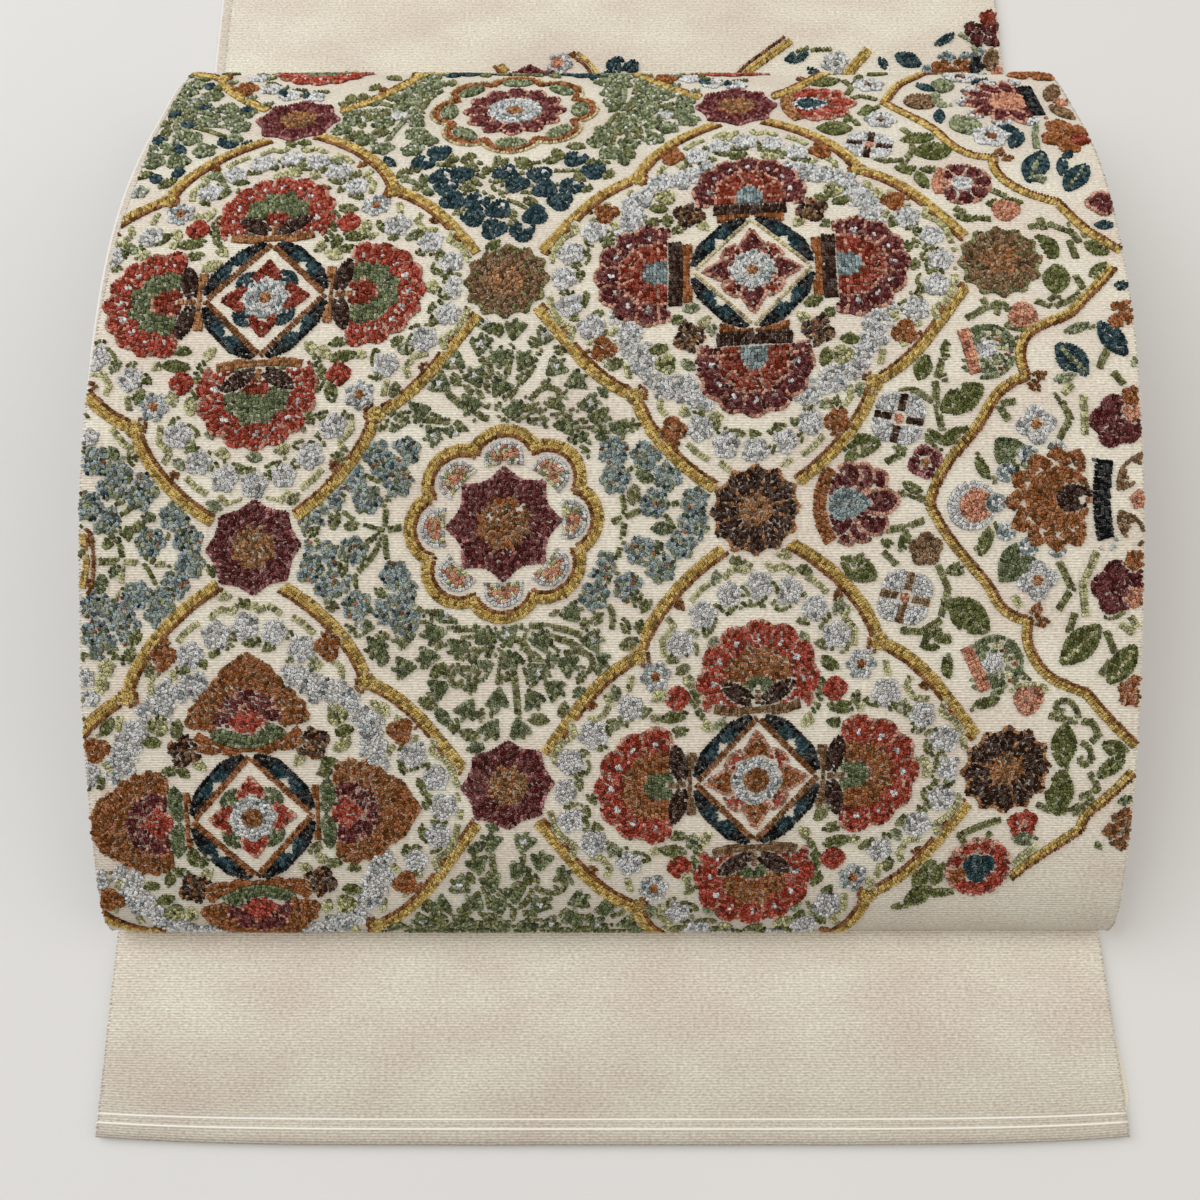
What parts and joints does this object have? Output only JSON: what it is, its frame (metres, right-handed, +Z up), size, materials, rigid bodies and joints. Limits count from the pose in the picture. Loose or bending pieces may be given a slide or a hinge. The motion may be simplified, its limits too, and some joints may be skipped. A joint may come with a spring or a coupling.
{
  "type": "obi sash",
  "caption": "Long stiff double-cloth obi sash laid flat, one end folded into an arched drum over its tail, the spare length folded in a stack behind.",
  "frame": {"origin": "on the surface the sash lies on, under the middle of its bounding box", "axes": "+X across the cloth, +Y from the tail's tip over the drum to the stack behind, +Z up"},
  "size_m": [0.3126, 0.8395, 0.0757],
  "materials": {
    "face_cloth": "cream silk with a fine crosswise rib",
    "lining_cloth": "plain darker cream silk"
  },
  "bodies": {
    "root": {"tail_face": "face_cloth", "tail_lining": "lining_cloth", "inner_face": "face_cloth", "inner_lining": "lining_cloth", "drum_face": "face_cloth", "drum_lining": "lining_cloth", "behind_face": "face_cloth", "behind_lining": "lining_cloth", "hand_end_face": "face_cloth", "hand_end_lining": "lining_cloth", "folded_layers": "lining_cloth"}
  },
  "joints": []
}
